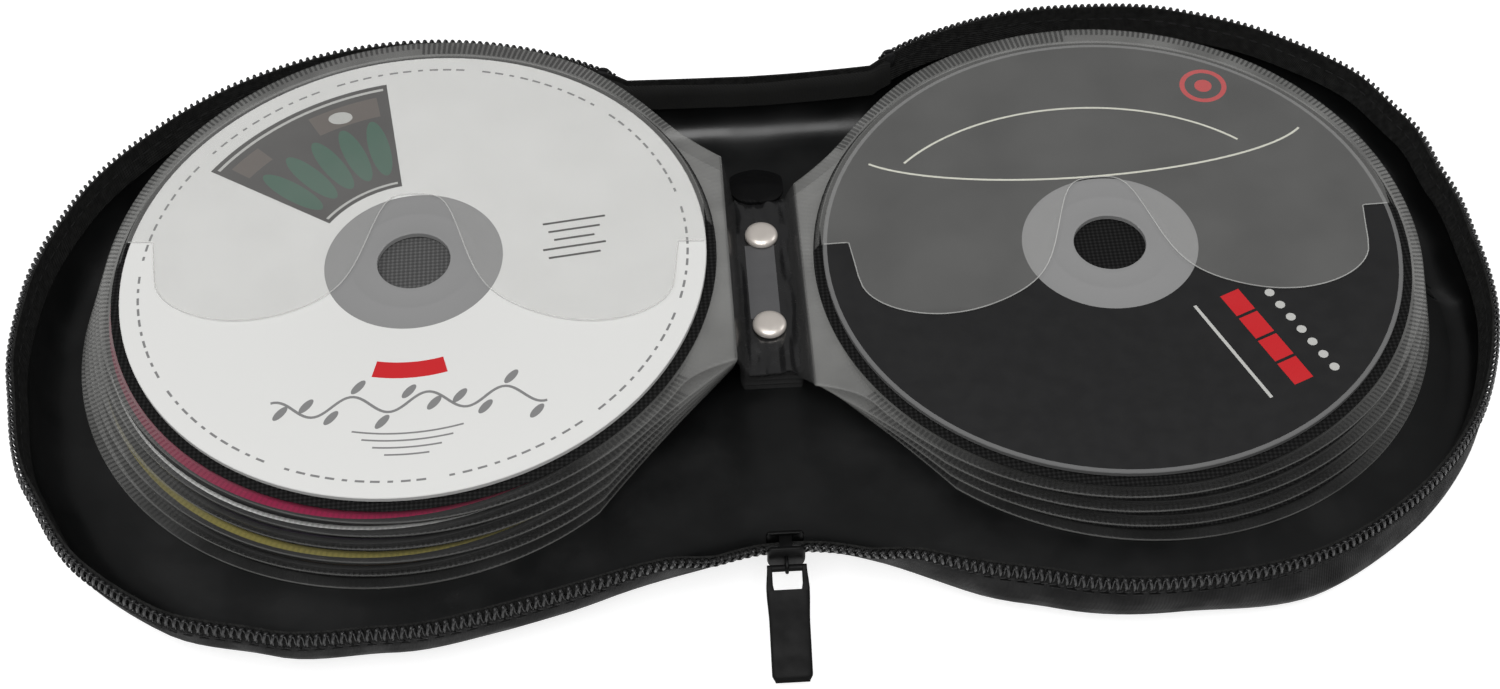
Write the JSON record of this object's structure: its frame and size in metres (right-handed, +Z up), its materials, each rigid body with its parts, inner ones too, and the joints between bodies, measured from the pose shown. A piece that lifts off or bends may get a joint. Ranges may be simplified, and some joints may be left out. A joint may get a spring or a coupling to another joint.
{
  "type": "disc storage case",
  "caption": "Round soft zip case lying open like a book, with discs in clear sleeves stacked in each half and riveted to the spine.",
  "frame": {"origin": "middle of the spine's underside, on the surface that the open case lies on", "axes": "+X towards the half with the lower stack, +Y away from the zip slider, +Z up"},
  "size_m": [0.305, 0.1652, 0.0229],
  "materials": {
    "cover_fabric": "black coated nylon",
    "lining_satin": "glossy black satin",
    "board": "plain board",
    "zip_tape": "woven black tape",
    "zip_teeth": "black nylon coil",
    "clear_film": "clear vinyl film",
    "divider": "black non-woven sheet with an embossed grid",
    "strip_vinyl": "glossy dark grey vinyl",
    "nickel": "bright nickel",
    "slider_metal": "black enamel",
    "pull_rubber": "matt black",
    "disc_white": "printed",
    "disc_black": "printed",
    "disc_magenta": "printed",
    "disc_olive": "printed",
    "disc_violet": "printed",
    "disc_brown": "printed",
    "disc_silver": "mirror side",
    "disc_blue": "printed"
  },
  "bodies": {
    "right_half": {"cover_right": "cover_fabric", "stiffener_board_right": "board", "lining_right": "lining_satin", "zip_tape_right": "zip_tape", "zip_teeth_right": "zip_teeth", "zip_stop_right": "zip_teeth", "back_wall_right": "cover_fabric", "sleeve_right_1": "clear_film", "divider_right_1": "divider", "disc_right_1": "disc_silver", "sleeve_right_2": "clear_film", "divider_right_2": "divider", "disc_right_2": "disc_blue", "sleeve_right_3": "clear_film", "divider_right_3": "divider", "disc_right_3": "disc_white", "sleeve_right_4": "clear_film", "divider_right_4": "divider", "disc_right_4": "disc_black"},
    "spine": {"spine_cover": "cover_fabric", "spine_lining": "lining_satin", "spine_board": "board", "front_gusset": "cover_fabric", "back_gusset": "cover_fabric", "sleeve_tabs": "clear_film", "rivet_strip": "strip_vinyl", "rivet_front": "nickel", "rivet_back": "nickel", "rivet_washer_front": "nickel", "rivet_washer_back": "nickel", "slider_body": "slider_metal"},
    "left_half": {"cover_left": "cover_fabric", "stiffener_board_left": "board", "lining_left": "lining_satin", "zip_tape_left": "zip_tape", "zip_teeth_left": "zip_teeth", "zip_stop_left": "zip_teeth", "back_wall_left": "cover_fabric", "sleeve_left_1": "clear_film", "divider_left_1": "divider", "disc_left_1": "disc_brown", "sleeve_left_2": "clear_film", "divider_left_2": "divider", "disc_left_2": "disc_olive", "sleeve_left_3": "clear_film", "divider_left_3": "divider", "disc_left_3": "disc_violet", "sleeve_left_4": "clear_film", "divider_left_4": "divider", "disc_left_4": "disc_white", "sleeve_left_5": "clear_film", "divider_left_5": "divider", "disc_left_5": "disc_magenta", "sleeve_left_6": "clear_film", "divider_left_6": "divider", "disc_left_6": "disc_white"},
    "pull": {"pull_tab": "pull_rubber"}
  },
  "joints": [
    {"name": "spine_fold", "type": "hinge", "parent": "right_half", "child": "spine", "pos_m": [0.0065, 0, 0.0122], "axis": [0, 1, 0], "range_deg": [0, 90]},
    {"name": "cover_fold", "type": "hinge", "parent": "spine", "child": "left_half", "pos_m": [-0.0065, 0, 0.0122], "axis": [0, 1, 0], "range_deg": [0, 90]},
    {"name": "pull_swing", "type": "hinge", "parent": "spine", "child": "pull", "pos_m": [-0.0013, -0.06715, 0.013], "axis": [-1, 0, 0], "range_deg": [0, 95]}
  ]
}
